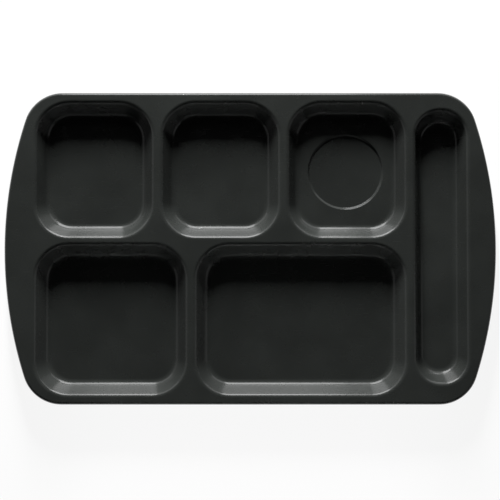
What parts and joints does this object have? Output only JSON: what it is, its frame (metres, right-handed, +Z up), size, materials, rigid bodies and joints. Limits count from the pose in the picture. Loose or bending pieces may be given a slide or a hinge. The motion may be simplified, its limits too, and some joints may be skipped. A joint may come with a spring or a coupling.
{
  "type": "compartment tray",
  "caption": "Right-hand meal tray: a flat deck with sunken wells for food, a cup and cutlery, bowed hand grips at both ends and a turned-down rim.",
  "frame": {"origin": "on the table, under the middle of the tray: bottom centre of the bounding box", "axes": "+X to the right of the person eating, along the long side; +Y away from them; +Z up out of the wells"},
  "size_m": [0.4, 0.254, 0.018],
  "materials": {
    "black_melamine": "black moulded melamine with a satin gloss"
  },
  "bodies": {
    "root": {"deck": "black_melamine", "left_grip": "black_melamine", "right_grip": "black_melamine", "rim": "black_melamine", "left_side_well": "black_melamine", "middle_side_well": "black_melamine", "cup_well": "black_melamine", "salad_well": "black_melamine", "entree_well": "black_melamine", "cutlery_well": "black_melamine"}
  },
  "joints": []
}
